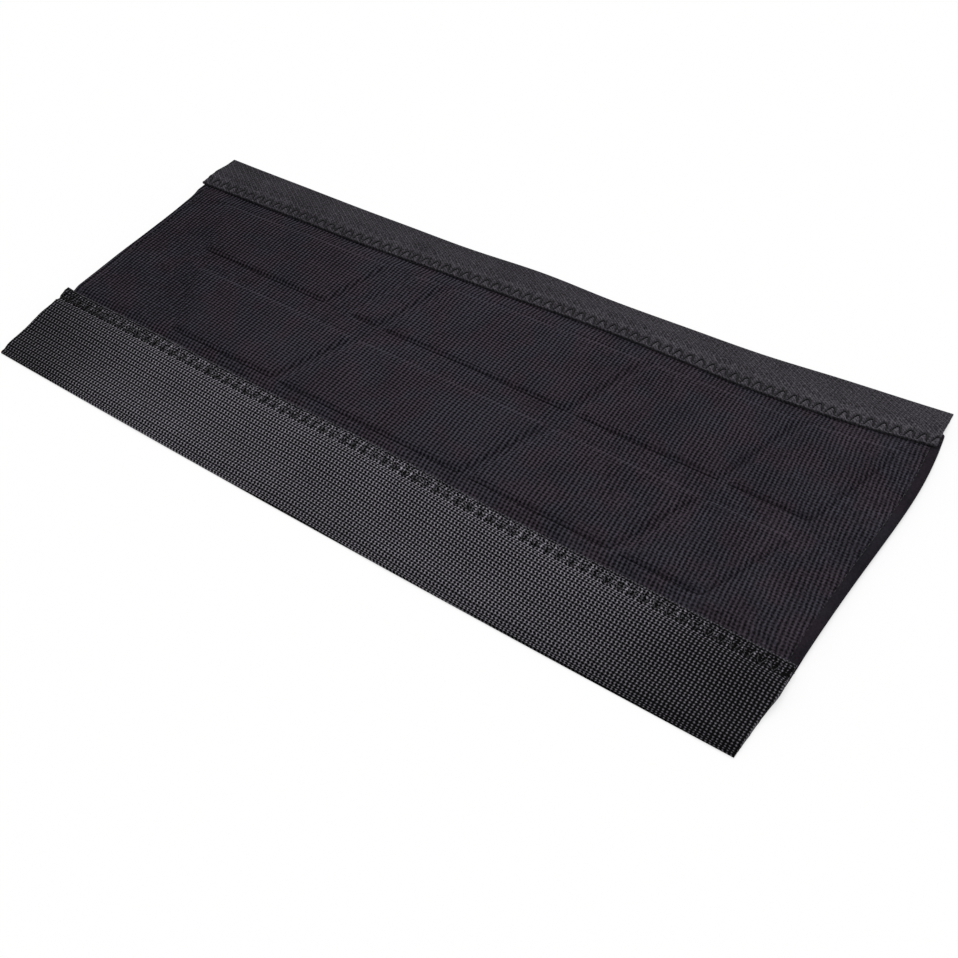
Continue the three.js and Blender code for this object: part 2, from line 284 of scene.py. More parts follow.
class Shader:
    """The node tree of a material or of the world, with one method that makes every node."""

    def __init__(self, holder: bpy.types.Material | bpy.types.World) -> None:
        """Starts an empty tree.

        Args:
            holder: The new material or world that holds the tree.
        """
        holder.use_nodes = True
        self.holder = holder
        self.tree = holder.node_tree
        self.tree.nodes.clear()

    def node(self, kind: str, settings: dict, inputs: dict) -> bpy.types.Node:
        """Makes a node, sets its settings and then its inputs.

        Args:
            kind: The node's type.
            settings: Its settings by name.
            inputs: Values, Value objects or sockets by input name or number.

        Returns:
            The node.
        """
        node = self.tree.nodes.new(kind)
        for name, value in settings.items():
            setattr(node, name, value)
        for key, value in inputs.items():
            socket = node.inputs[key]
            if isinstance(value, Value):
                self.tree.links.new(value.socket, socket)
            elif isinstance(value, bpy.types.NodeSocket):
                self.tree.links.new(value, socket)
            elif isinstance(value, tuple) and len(value) == 3 and socket.type == "RGBA":
                socket.default_value = (*value, 1.0)
            else:
                socket.default_value = value
        return node

    def place(self) -> tuple[Value, Value, bpy.types.NodeSocket]:
        """Plan coordinates in millimetres, and the object coordinates.

        Returns:
            The distance along, the distance across and the coordinates in metres.
        """
        where = self.node("ShaderNodeTexCoord", {}, {}).outputs["Object"]
        split = self.node("ShaderNodeSeparateXYZ", {}, {0: where})
        along = Value(self, split.outputs[0]) / MM - PLAN.origin_shift
        return along, Value(self, split.outputs[1]) / MM, where

    def tape_place(self) -> tuple[Value, Value]:
        """Place on a tape in millimetres.

        Returns:
            The distance along the tape and the distance from its inner edge.
        """
        uv = self.node("ShaderNodeUVMap", {"uv_map": TAPE_UV}, {}).outputs[0]
        split = self.node("ShaderNodeSeparateXYZ", {}, {0: uv})
        along = (Value(self, split.outputs[0]) - 0.5) * UV_SPAN
        return along, Value(self, split.outputs[1]) * UV_SPAN

    def attribute(self, name: str) -> Value:
        """A number that the mesh holds at its points.

        Args:
            name: The attribute's name.

        Returns:
            Its value over the surface.
        """
        node = self.node("ShaderNodeAttribute", {"attribute_name": name}, {})
        return Value(self, node.outputs["Fac"])

    def looked_at(self) -> Value:
        """1 for what is looked at, straight, in a gloss or through glass, and 0 for plain light."""
        rays = self.node("ShaderNodeLightPath", {}, {}).outputs
        seen = Value(self, rays["Is Camera Ray"]).most(Value(self, rays["Is Glossy Ray"]))
        return seen.most(Value(self, rays["Is Transmission Ray"]))

    def noise(self, where: bpy.types.NodeSocket, grain: float, detail: float = 2.0) -> Value:
        """Smooth noise from 0 to 1.

        Args:
            where: The coordinates, in metres.
            grain: Size of the patches in millimetres.
            detail: Octaves.

        Returns:
            The noise.
        """
        inputs = {"Vector": where, "Scale": 1 / (grain * MM), "Detail": detail}
        node = self.node("ShaderNodeTexNoise", {}, inputs)
        return Value(self, node.outputs[0])

    def drift(
        self, where: bpy.types.NodeSocket, grain: float, swing: float | Value, detail: float = 2.0
    ) -> Value:
        """Smooth noise about zero.

        Args:
            where: The coordinates, in metres.
            grain: Size of the patches in millimetres.
            swing: From its least to its most.
            detail: Octaves.

        Returns:
            The drift.
        """
        return (self.noise(where, grain, detail) - 0.5) * swing

    def mix(self, share: Value, low: object, high: object) -> bpy.types.NodeSocket:
        """Mixes two colours.

        Args:
            share: 0 for low and 1 for high.
            low: A colour or a colour socket.
            high: A colour or a colour socket.

        Returns:
            The mixed colour.
        """
        settings = {"data_type": "RGBA", "clamp_factor": True}
        return self.node("ShaderNodeMix", settings, {0: share, 6: low, 7: high}).outputs[2]

    def finish(self, inputs: dict, height: Value | None = None, depth: float = 0.0) -> bpy.types.Material:
        """Ends the tree in a Principled shader.

        Args:
            inputs: The shader's inputs by name.
            height: Relief from 0 to 1, if there is any.
            depth: The relief's depth in millimetres.

        Returns:
            The material.
        """
        if height is not None:
            relief = {"Strength": 1.0, "Distance": depth * MM, "Height": height}
            inputs = {**inputs, "Normal": self.node("ShaderNodeBump", {}, relief).outputs[0]}
        surface = self.node("ShaderNodeBsdfPrincipled", {}, inputs)
        self.node("ShaderNodeOutputMaterial", {}, {"Surface": surface.outputs[0]})
        return self.holder


# Finishes


@dataclass(frozen=True)
class KnitFinish:
    """Ribbed knit bonded to foam, creased at the walls of the raised panels, with painted shade in the
    creases of the walls that face the front and a painted highlight along the walls that face the back.
    """

    name: str = "neoprene_knit"
    warm_yarn: Colour = (0.0625, 0.0497, 0.0652)
    cool_yarn: Colour = (0.0556, 0.0512, 0.0665)
    gap: Colour = (0.0006, 0.0005, 0.0008)
    rib_pitch: float = 1.23
    course_pitch: float = 0.95
    rib_drift: float = 0.0012
    wall_run: float = 1.2
    fleck_grain: float = 0.55
    patch_grain: float = 12.0
    dim_end_run: float = 60.0
    brightest: float = 2.8
    relief: float = 0.18
    roughness: float = 0.9
    gloss: float = 0.03

    def build(self) -> bpy.types.Material:
        """Makes the material from plan coordinates and the body's edge distances."""
        shader = Shader(bpy.data.materials.new(self.name))
        along, across, where = shader.place()
        warp = shader.drift(where, 16.0, 1.6)
        kink = shader.drift(where, 2.0, 0.6, 1.0)
        rib = (along + along.most(0.0) * across * self.rib_drift + warp + kink * 0.5).wave(self.rib_pitch)
        course = (across + warp * 0.5 + kink).wave(self.course_pitch)
        fleck = shader.drift(where, self.fleck_grain, 2.0, 1.0)
        loose = shader.noise(where, 5.0, 1.0) * 0.8 + 0.6
        dim_end = ((along + PLAN.half_length) / self.dim_end_run).bell(1.0) * 0.22
        patches = shader.drift(where, self.patch_grain, 0.35, 3.0) - dim_end
        edge = shader.attribute("panel_edge")
        facing = shader.attribute("wall_shade")
        hem = shader.attribute("end_edge")
        smooth_hem = (1 - hem.step(2.3, 3.1)) * along.step(0.0, 20.0)
        # Painted shade in the creases at the foot and the top of each panel wall, weighted to walls that face
        # the front; painted highlight along walls that face the back.
        crease_shade = edge.bell(0.16) + (edge + self.wall_run).bell(0.14) * 0.5
        painted_shade = (crease_shade * facing.most(0.0) * 1.2).least(1.0)
        light = (edge + 0.3).bell(0.28) * (-facing).most(0.0)
        right = along.most(0.0)
        knit = rib * 0.45 + course * (0.27 - right * 0.0005) - rib * course * 0.08
        knit = knit * loose * (1.15 - right * 0.0032) + fleck * (right * 0.0007 + 0.56)
        plain = knit * (1 - smooth_hem) + smooth_hem * (fleck * 0.2 - 0.16)
        level = (1 + plain + patches + light * 0.5) * (1 - painted_shade * 0.55)
        yarn = shader.mix(shader.noise(where, 10.0).step(0.4, 0.6), self.warm_yarn, self.cool_yarn)
        colour = shader.mix(level.tone(0.15, self.brightest), self.gap, yarn)
        inputs = {"Base Color": colour, "Roughness": self.roughness, "Specular IOR Level": self.gloss}
        return shader.finish(inputs, plain * 0.6 + 0.5 - painted_shade * 0.4, self.relief)


@dataclass(frozen=True)
class ZigzagSize:
    """Sizes of a zigzag seam, in millimetres. Each stitch shows as one arch."""

    depth: float
    arch_width: float
    arch_power: float
    thread: float
    pitch: float = 3.6
    edge_distance: float = 0.9
    stitches: int = 68

    @property
    def reach(self) -> float:
        """Half of the seam's length."""
        return self.stitches * self.pitch / 2

    @property
    def width(self) -> float:
        """Distance of the outer needle holes from the tape's inner edge."""
        return self.edge_distance + self.depth

    def turns(self, along: object) -> object:
        """Number of stitches up to a place, for arrays and for shader values alike."""
        return (along + self.reach) / self.pitch

    def swing(self, phase: np.ndarray) -> np.ndarray:
        """Share of the depth at a phase of the stitch from 0 to 1."""
        off_middle = np.abs(phase - 0.5) * self.pitch * 2 / self.arch_width
        return 1 - np.minimum(off_middle, 1) ** self.arch_power

    def from_thread(self, phase: object, across: object) -> object:
        """Distance square to the arch, about, for arrays and for shader values alike.

        Args:
            phase: Phase of the stitch, from 0 to 1.
            across: Distance from the tape's inner edge.

        Returns:
            The distance, below zero inside the arch.
        """
        off_middle = abs(phase - 0.5) * (self.pitch * 2 / self.arch_width) + 0.0001
        level = off_middle**self.arch_power + (across - self.edge_distance) / self.depth - 1
        steep = off_middle ** (self.arch_power - 1) * (self.arch_power * 2 / self.arch_width)
        return level / (steep + 1 / self.depth)


HOOK_SEAM = ZigzagSize(depth=4.0, arch_width=3.6, arch_power=1.5, thread=0.36)
LOOP_SEAM = ZigzagSize(depth=2.6, arch_width=2.5, arch_power=2.3, thread=0.4)


@dataclass(frozen=True)
class HookFinish:
    """Glossy nylon mesh of hooks, crushed along the seam and closer woven at the outer edge."""

    name: str = "hook_pile"
    strand: Colour = (0.318, 0.300, 0.346)
    hole: Colour = (0.0006, 0.0005, 0.0007)
    column_count: float = 0.9
    row_count: float = 1.2
    crushed_width: float = 5.0
    packed_width: float = 3.0
    fleck_grain: float = 0.6
    patch_grain: float = 22.0
    dim_end_run: float = 32.0
    brightest: float = 7.6
    relief: float = 0.22
    gloss: float = 0.03

    def build(self) -> bpy.types.Material:
        """Makes the material on the tape's own UV map."""
        shader = Shader(bpy.data.materials.new(self.name))
        along, across = shader.tape_place()
        where = shader.place()[2]
        crushed = 1 - across.step(self.crushed_width - 0.2, self.crushed_width + 0.4)
        left, right = -along.least(0.0), along.most(0.0)
        slack = shader.drift(where, 1.3, crushed * 0.9 + 0.2, 1.0)
        outer_edge = shader.attribute("outer_edge")
        packed = (self.packed_width - outer_edge).most(0.0)
        columns = (along + slack) * self.column_count
        rows = (across + slack + packed * packed * 0.1) * self.row_count
        holes = columns.wave(1.0) * 1.15 + rows.wave(1.0) * 1.05
        dotted = along.step(75.0, 118.0)
        holes = holes + (columns - rows).wave(1.0) * (0.65 - dotted * 0.55)
        holes = (holes + (columns - rows * 0.5).wave(1.0) * 0.3) * (1.14 - along * 0.0016)
        holes = holes * (1 - dotted * 0.2)
        shade = (outer_edge / 2.6).bell(1.0) * (right * 0.0015 + 0.08)
        shade = shade + across.step(12.0, 20.0) * 0.05
        fleck = shader.drift(where, self.fleck_grain, 2.0, 1.0)
        phase = HOOK_SEAM.turns(along).fraction()
        turn = (abs(phase - 0.5) * HOOK_SEAM.pitch).bell(0.8) * (across - 3.8).bell(0.8)
        turn = turn * (shader.noise(where, 2.4, 1.0) * 2.0 - 0.2)
        root = ((0.5 - abs(phase - 0.5)) * HOOK_SEAM.pitch).bell(0.4) * across.step(0.8, 1.6) * crushed
        rim = across.step(0.75, 0.35)
        # Painted shade: the tape darkens towards both ends, so that a painted sheen is brightest in the
        # middle.
        ends = ((PLAN.half_length - abs(along)) / self.dim_end_run).bell(1.0) * (left * 0.0022 + 0.36)
        patches = shader.drift(where, self.patch_grain, 0.3)
        first_row = (across - self.crushed_width - 0.55).bell(0.3) * 0.2
        woven = fleck * (crushed * 0.8 + 0.24) - holes
        clusters = turn * (1.0 - right * 0.0016)
        clusters = clusters + (across - 4.6).bell(0.4) * (left * 0.0035 + 0.1)
        level = 0.44 + along.least(50.0) * 0.0013 + dotted * 0.08 + woven + patches + root * 0.5 + first_row
        level = level - clusters - ends - crushed * (left * 0.0015 + 0.2) - shade
        level = level * (1 - rim) + rim * (1.05 + along.wave(0.9) * 0.45)
        colour = shader.mix(level.tone(0.05, self.brightest), self.hole, self.strand)
        inputs = {
            "Base Color": colour,
            "Roughness": (0.6 - woven * 0.15).most(0.4),
            "Specular IOR Level": self.gloss,
        }
        return shader.finish(inputs, woven * 0.3 + 0.5 - turn * 0.3, self.relief)


@dataclass(frozen=True)
class LoopFinish:
    """Fine twill reverse of the loop tape, puffed up between the stitches, with painted shade in the stitch
    grooves and along the inner edge and a painted highlight on the puffs.
    """

    name: str = "tape_weave"
    yarn: Colour = (0.0995, 0.0917, 0.1075)
    gap: Colour = (0.001, 0.001, 0.0012)
    twill: tuple[float, float] = (0.85, 1.12)
    warp_count: float = 0.9
    fleck_grain: float = 0.5
    patch_grain: float = 12.0
    brightest: float = 2.6
    relief: float = 0.1
    roughness: float = 0.8
    gloss: float = 0.04

    def build(self) -> bpy.types.Material:
        """Makes the material on the tape's own UV map."""
        shader = Shader(bpy.data.materials.new(self.name))
        along, across = shader.tape_place()
        where = shader.place()[2]
        wobble = shader.drift(where, 2.0, 0.5, 1.0)
        diagonal = along * self.twill[0] + across * self.twill[1] + wobble
        warp = along * self.warp_count + wobble * 0.5
        fleck = shader.drift(where, self.fleck_grain, 2.0, 1.0)
        weave = diagonal.wave(1.0) * 0.17 + diagonal.wave(2.0) * 0.07 + warp.wave(1.0) * 0.09
        weave = weave + (warp * 2.1).wave(1.0) * 0.08 + fleck * 0.75
        phase = LOOP_SEAM.turns(along).fraction()
        from_arch = LOOP_SEAM.from_thread(phase, across)
        begun = across.step(LOOP_SEAM.edge_distance + 0.1, LOOP_SEAM.edge_distance + 0.7)
        # Painted shade in the groove along each stitch arch, and a painted highlight inside the arches where
        # the tape puffs up.
        groove = from_arch.bell(0.26) * begun * (shader.noise(where, 3.0, 1.0) * 1.3 + 0.35)
        inside = from_arch.step(0.1, -0.6)
        sewn = across.step(LOOP_SEAM.width + 1.2, LOOP_SEAM.width)
        outer = across.step(4.5, 8.0)
        patches = shader.drift(where, self.patch_grain, 0.3) - outer * 0.15
        level = 1.03 + weave + patches + inside * sewn * 0.08
        level = level + along * 0.0009 - outer * along * 0.0003
        level = level * (1 - groove * 0.55)
        # Painted shade along the inner edge, whose face is turned from the light.
        level = level * (1 - across.step(0.45, 0.1) * 0.3)
        colour = shader.mix(level.tone(0.15, self.brightest), self.gap, self.yarn)
        inputs = {"Base Color": colour, "Roughness": self.roughness, "Specular IOR Level": self.gloss}
        return shader.finish(inputs, weave * 0.6 + 0.5 - groove * 0.4, self.relief)


@dataclass(frozen=True)
class ThreadFinish:
    """Twisted sewing thread."""

    name: str = "sewing_thread"
    lit: Colour = (0.022, 0.020, 0.024)
    deep: Colour = (0.002, 0.002, 0.0025)
    twist_pitch: float = 0.5
    relief: float = 0.06
    roughness: float = 0.6
    gloss: float = 0.1

    def build(self) -> bpy.types.Material:
        """Makes the material from plan coordinates."""
        shader = Shader(bpy.data.materials.new(self.name))
        along, across, where = shader.place()
        ply = (along + across * 0.6).wave(self.twist_pitch) * 0.5 + 0.5
        tone = ply * 0.7 + shader.noise(where, 0.8, 1.0) * 0.4
        colour = shader.mix(tone, self.deep, self.lit)
        inputs = {"Base Color": colour, "Roughness": self.roughness, "Specular IOR Level": self.gloss}
        return shader.finish(inputs, ply, self.relief)


@dataclass(frozen=True)
class FloorFinish:
    """White floor that keeps a faint shadow."""

    name: str = "studio_floor"
    paint: Colour = (0.93, 0.93, 0.93)
    lift: float = 0.6
    glow: float = 1.03

    def build(self) -> bpy.types.Material:
        """Makes the material, brighter where it is looked at."""
        shader = Shader(bpy.data.materials.new(self.name))
        paint = shader.node("ShaderNodeBsdfDiffuse", {}, {"Color": self.paint})
        white = shader.node("ShaderNodeEmission", {}, {"Color": WHITE, "Strength": self.glow})
        inputs = {0: shader.looked_at() * self.lift, 1: paint.outputs[0], 2: white.outputs[0]}
        surface = shader.node("ShaderNodeMixShader", {}, inputs)
        shader.node("ShaderNodeOutputMaterial", {}, {"Surface": surface.outputs[0]})
        return shader.holder


# Mesh making


def put(name: str, data: bpy.types.ID) -> bpy.types.Object:
    """Makes an object of a mesh, curve, lamp or camera and puts it into the scene."""
    made = bpy.data.objects.new(name, data)
    bpy.context.scene.collection.objects.link(made)
    return made


@dataclass
class Sheet:
    """A closed sheet of cloth over a grid of points, in millimetres.

    Each array has one row for every station along and one column for every
    station across.
    """

    x: np.ndarray
    y: np.ndarray
    bottom: np.ndarray
    top: np.ndarray
    uv: tuple[np.ndarray, np.ndarray] | None = None
    attributes: dict[str, np.ndarray] = field(default_factory=dict)

    def build(self, name: str) -> bpy.types.Object:
        """Makes the sheet's mesh.

        Args:
            name: The piece's name.

        Returns:
            The object, at the origin.
        """
        columns, rows = self.x.shape
        shell = bmesh.new()
        bmesh.ops.create_grid(shell, x_segments=columns - 1, y_segments=rows - 1, size=1)
        region = bmesh.ops.extrude_face_region(shell, geom=shell.faces[:], use_keep_orig=True)
        lifted = [item for item in region["geom"] if isinstance(item, bmesh.types.BMVert)]
        bmesh.ops.translate(shell, verts=lifted, vec=(0, 0, 1))
        mesh = bpy.data.meshes.new(name)
        shell.to_mesh(mesh)
        shell.free()

        grid = np.empty(len(mesh.vertices) * 3)
        mesh.vertices.foreach_get("co", grid)
        grid = grid.reshape(-1, 3)
        i = np.rint((grid[:, 0] + 1) / 2 * (columns - 1)).astype(int)
        j = np.rint((grid[:, 1] + 1) / 2 * (rows - 1)).astype(int)
        high = grid[:, 2] > 0.5
        z = np.where(high, self.top[i, j], self.bottom[i, j])
        points = np.stack([self.x[i, j] + PLAN.origin_shift, self.y[i, j], z], axis=1) * MM
        mesh.vertices.foreach_set("co", points.ravel())

        if self.uv is not None:
            corners = np.empty(len(mesh.loops), dtype=np.int32)
            mesh.loops.foreach_get("vertex_index", corners)
            plan = np.stack([self.uv[0][i, j] / UV_SPAN + 0.5, self.uv[1][i, j] / UV_SPAN], axis=1)
            layer = mesh.uv_layers.new(name=TAPE_UV)
            layer.uv.foreach_set("vector", plan[corners].ravel().astype(np.float32))
        for key, values in self.attributes.items():
            held = mesh.attributes.new(key, "FLOAT", "POINT")
            held.data.foreach_set("value", values[i, j].astype(np.float32))

        shell = bmesh.new()
        shell.from_mesh(mesh)
        bmesh.ops.recalc_face_normals(shell, faces=shell.faces[:])
        for edge in shell.edges:
            edge.smooth = edge.calc_face_angle(0.0) < math.radians(50)
        for face in shell.faces:
            face.smooth = True
        shell.to_mesh(mesh)
        shell.free()
        return put(name, mesh)


def thread_piece(name: str, runs: Sequence[np.ndarray], diameter: float) -> bpy.types.Object:
    """Makes round thread along runs of points.

    Args:
        name: The piece's name.
        runs: Arrays of points in millimetres, one for each length of thread.
        diameter: The thread's diameter in millimetres.

    Returns:
        The mesh object, at the origin.
    """
    curve = bpy.data.curves.new(name, "CURVE")
    curve.dimensions = "3D"
    curve.bevel_depth = diameter / 2 * MM
    curve.bevel_resolution = 2
    curve.use_fill_caps = True
    for run in runs:
        spline = curve.splines.new("POLY")
        spline.points.add(len(run) - 1)
        placed = (run + [PLAN.origin_shift, 0, 0]) * MM
        spline.points.foreach_set("co", np.hstack([placed, np.ones((len(run), 1))]).ravel())
    guide = put(name + "_guide", curve)
    graph = bpy.context.evaluated_depsgraph_get()
    mesh = bpy.data.meshes.new_from_object(guide.evaluated_get(graph))
    bpy.data.objects.remove(guide)
    bpy.data.curves.remove(curve)
    mesh.name = name
    for polygon in mesh.polygons:
        polygon.use_smooth = True
    return put(name, mesh)


def dress(piece: bpy.types.Object, material: bpy.types.Material, slot: str, *nodes: str) -> None:
    """Gives a piece its material and its body, and hides the nodes that it stands for.

    Args:
        piece: The piece.
        material: Its material.
        slot: Not used.
        nodes: The nodes that it replaces.
    """
    piece.data.materials.clear()
    piece.data.materials.append(material)
    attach(piece, "root")
    if nodes:
        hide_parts(*nodes)


# Sub-assemblies


@dataclass
class PanelRow:
    """One row of raised panels, in millimetres along the protector."""

    start_margin: float
    end_margin: float
    lean: float
    shares: tuple[float, ...]
    gaps: tuple[float, ...]
    nose_lean: float = -0.46

    def spans(self) -> list[tuple[float, float, float]]:
        """Start, end and leading lean of each panel. The last fills what is left."""
        start = -PLAN.half_length + self.start_margin
        spans = []
        for share, gap in zip(self.shares, self.gaps, strict=True):
            lean = self.lean if spans else self.nose_lean
            spans.append((start, start + share * PLAN.seam_length, lean))
            start += share * PLAN.seam_length + gap
        return [*spans, (start, PLAN.half_length - self.end_margin, self.lean)]

    def lean_at(self, x: np.ndarray, reach: float) -> np.ndarray:
        """Lean of the mesh at x, that of the nearest panel side and none past the reach."""
        spans = self.spans()
        places = (-reach, spans[0][0], spans[0][1], spans[-1][1], reach)
        return np.interp(x, places, (0.0, self.nose_lean, self.lean, self.lean, 0.0))


@dataclass
class BodyPanel:
    """The neoprene body with its two rows of raised panels and its hemmed ends."""

    rise: float = 0.55
    wall_run: float = 1.25
    groove_depth: float = 0.06
    groove_place: float = 0.3
    groove_reach: float = 0.55
    dome: float = 0.15
    dome_run: float = 5.0
    corner_sharpness: float = 1.6
    side_shade: float = 0.8
    leading_shade: float = 0.14
    edge_press: float = 0.06
    back_row_margin: float = 5.5
    front_row_margin: float = 4.9
    channel_width: float = 7.4
    channel_offset: float = 6.0
    channel_slope: float = -0.021
    hem_width: float = 2.6
    hem_groove: float = 0.42
    hem_reach: float = 0.42
    hem_pitch: float = 2.0
    hem_round: float = 1.1
    end_zone: float = 4.7
    column_step: float = 0.45
    back_row: PanelRow = field(
        default_factory=lambda: PanelRow(
            start_margin=19.2,
            end_margin=11.9,
            lean=0.29,
            shares=(0.225, 0.043, 0.26, 0.182),
            gaps=(9.6, 2.2, 2.2, 2.2),
        )
    )
    front_row: PanelRow = field(
        default_factory=lambda: PanelRow(
            start_margin=34.0,
            end_margin=23.6,
            lean=0.385,
            shares=(0.202, 0.26, 0.182),
            gaps=(2.2, 2.2, 2.2),
        )
    )

    @property
    def even_reach(self) -> float:
        """Distance from the middle to where the evenly spaced columns end."""
        return PLAN.half_length - self.end_zone

    def back_row_back(self, x: np.ndarray) -> np.ndarray:
        """Back line of the back row."""
        return PLAN.loop_seam(x) - self.back_row_margin

    def back_row_front(self, x: np.ndarray) -> np.ndarray:
        """Front line of the back row."""
        return self.channel_offset + self.channel_slope * x + self.channel_width / 2

    def front_row_back(self, x: np.ndarray) -> np.ndarray:
        """Back line of the front row."""
        return self.channel_offset + self.channel_slope * x - self.channel_width / 2

    def front_row_front(self, x: np.ndarray) -> np.ndarray:
        """Front line of the front row."""
        return PLAN.hook_line(x) + self.front_row_margin

    def outlines(self) -> list[np.ndarray]:
        """Corners of every panel, anticlockwise."""
        rows = [
            (self.back_row, self.back_row_front, self.back_row_back),
            (self.front_row, self.front_row_front, self.front_row_back),
        ]
        outlines = []
        for row, front, back in rows:
            for start, end, lean in row.spans():
                lead, trail = (start, lean), (end, row.lean)
                corners = []
                for (x, leant), line in ((lead, front), (trail, front), (trail, back), (lead, back)):
                    middle = (front(x) + back(x)) / 2
                    along = x + leant * (line(x) - middle)
                    corners.append((along, line(along)))
                outlines.append(np.array(corners))
        return outlines

    def panel_distance(self, x: np.ndarray, y: np.ndarray) -> tuple[np.ndarray, np.ndarray]:
        """Distance from the nearest panel's foot line, and which way that side faces.

        Args:
            x: Places along.
            y: Places across.

        Returns:
            The distances, below zero inside a panel and with rounded corners, and
            the facing, most for a wall on the front side and least at the back.
        """
        nearest = np.full(x.shape, 99.0)
        facing = np.zeros(x.shape)
        k = self.corner_sharpness
        for corners in self.outlines():
            sides, turned = [], []
            for a, b in zip(corners, np.roll(corners, -1, axis=0), strict=True):
                along = (b - a) / np.hypot(*(b - a))
                sides.append((x - a[0]) * along[1] - (y - a[1]) * along[0])
                # The facing weights the painted shade and the painted highlight on the panel walls of the
                # knit.
                turned.append(self.leading_shade * along[1] + self.side_shade * along[0])
            stack = np.stack(sides)
            peak = stack.max(axis=0)
            weights = np.exp(k * (stack - peak))
            rounded = peak + np.log(weights.sum(axis=0)) / k
            shade = np.tensordot(np.array(turned), weights, axes=1) / weights.sum(axis=0)
            facing = np.where(rounded < nearest, shade, facing)
            nearest = np.minimum(nearest, rounded)
        return nearest, facing

    def stations_along(self) -> tuple[np.ndarray, np.ndarray]:
        """Nominal place of each column, and its inset from the nearer end."""
        near = np.array(
            [0, 0.12, 0.3, 0.55, 0.85, 1.2, 1.6, 1.9, 2.15, 2.4, 2.6, 2.8, 3.05, 3.35, 3.75, 4.2]
        )
        middle = np.arange(-self.even_reach, self.even_reach + 0.1, self.column_step)
        nominal = np.concatenate([-PLAN.half_length + near, middle, PLAN.half_length - near[::-1]])
        inset = np.concatenate([near, np.full(len(middle), -1.0), near[::-1]])
        return nominal, inset

    def stations_across(self, x: np.ndarray) -> np.ndarray:
        """Rows across the body at each x, gathered at the walls of the panels."""
        wall = [0.0, 0.3, 0.6, 0.9, 1.3]
        ramp_front = PLAN.hook_line(x) + PLAN.seam_margin
        ramp_back = PLAN.loop_seam(x) - PLAN.seam_margin
        lines = [
            (PLAN.hook_line(x) - PLAN.seam_lap, ramp_front, [0.0], [], 2),
            (ramp_front, ramp_front + PLAN.edge_ramp, [0.0], [], 5),
            (ramp_front + PLAN.edge_ramp, self.front_row_front(x), [0.0], [], 0),
            (self.front_row_front(x), self.front_row_back(x), wall, wall[1:], 13),
            (self.front_row_back(x), self.back_row_front(x), [0.0, 0.5, 1.0], [0.5, 1.0], 2),
            (self.back_row_front(x), self.back_row_back(x), wall, wall[1:], 13),
            (self.back_row_back(x), ramp_back - PLAN.edge_ramp, [0.0, 0.5], [], 0),
            (ramp_back - PLAN.edge_ramp, ramp_back, [0.0], [], 5),
            (ramp_back, PLAN.loop_seam(x) + PLAN.seam_lap, [0.0], [0.0], 2),
        ]
        rows = []
        for low, high, from_low, from_high, between in lines:
            rows += [low + step for step in from_low]
            start, stop = low + from_low[-1], high - max(from_high, default=0.0)
            rows += [start + (stop - start) * (n + 1) / (between + 1) for n in range(between)]
            rows += [high - step for step in sorted(from_high, reverse=True)]
        return np.stack(rows, axis=1)

    def leaning_places(self, nominal: np.ndarray, y: np.ndarray) -> np.ndarray:
        """Places along of the grid's points, so that columns run beside the panel sides.

        Args:
            nominal: Place along of each column before it leans.
            y: Places across, with one row for each column.

        Returns:
            The places along, before the ends are shaped.
        """
        lines = [
            self.front_row_front(nominal),
            self.front_row_back(nominal),
            self.back_row_front(nominal),
            self.back_row_back(nominal),
        ]
        front = self.front_row.lean_at(nominal, self.even_reach) * (lines[1] - lines[0]) / 2
        back = self.back_row.lean_at(nominal, self.even_reach) * (lines[3] - lines[2]) / 2
        knots = np.stack(lines, axis=1)
        shifts = np.stack([-front, front, -back, back], axis=1)
        return np.stack([
            x + np.interp(across, knot, shift)
            for x, across, knot, shift in zip(nominal, y, knots, shifts, strict=True)
        ])

    def thickness(self, x: np.ndarray, y: np.ndarray) -> np.ndarray:
        """Thickness of the cloth, pressed thin where a tape is sewn on."""
        from_front = y - PLAN.hook_line(x) - PLAN.seam_margin
        from_back = PLAN.loop_seam(x) - PLAN.seam_margin - y
        rise = ease(np.minimum(from_front, from_back) / PLAN.edge_ramp)
        gained = PLAN.body_thickness - PLAN.pressed_edge + self.edge_press
        return PLAN.pressed_edge - self.edge_press + gained * rise

    def build(self) -> bpy.types.Object:
        """Makes the body's sheet."""
        nominal, inset = self.stations_along()
        y = self.stations_across(nominal)
        place = self.leaning_places(nominal, y)
        y = np.stack([np.interp(at, nominal, row) for at, row in zip(place.T, y.T, strict=True)], axis=1)
        narrow, wide = PLAN.narrow_end(y), PLAN.wide_end(y)
        x = narrow + self.end_zone + (wide - narrow - 2 * self.end_zone) * (place / self.even_reach + 1) / 2
        near_start = (inset >= 0) & (nominal < 0)
        near_finish = (inset >= 0) & (nominal > 0)
        x[near_start] = narrow[near_start] + inset[near_start][:, None]
        x[near_finish] = wide[near_finish] - inset[near_finish][:, None]
        end = np.minimum(x - narrow, wide - x)

        edge, facing = self.panel_distance(x, y)
        thick = self.thickness(place, y)
        wall = ease(-edge / self.wall_run)
        groove = self.groove_depth * dent(edge - self.groove_place, self.groove_reach)
        relief = self.rise * wall - groove + self.dome * (1 - np.exp(np.minimum(edge, 0) / self.dome_run))
        sway = 0.07 * np.sin(x / 13 + y / 21) + 0.06 * np.sin(x / 29 - y / 9 + 1.3)
        field_share = ease((thick - PLAN.pressed_edge) / (PLAN.body_thickness - PLAN.pressed_edge))
        roll = np.sqrt(1 - (1 - np.clip(end / self.hem_round, 0, 1)) ** 2)
        stitched = 0.75 + 0.25 * np.cos(2 * np.pi * y / self.hem_pitch)
        hem = self.hem_groove * dent(end - self.hem_width, self.hem_reach) * stitched
        top = thick * (0.5 + 0.5 * roll) + relief + sway * field_share - hem
        bottom = 0.35 * thick * (1 - roll)
        held = {"panel_edge": edge, "wall_shade": facing, "end_edge": end}
        return Sheet(x, y, bottom, top, attributes=held).build("neoprene_body")


class Side(Enum):
    """The long side that a tape is sewn to."""

    HOOK = -1
    LOOP = 1


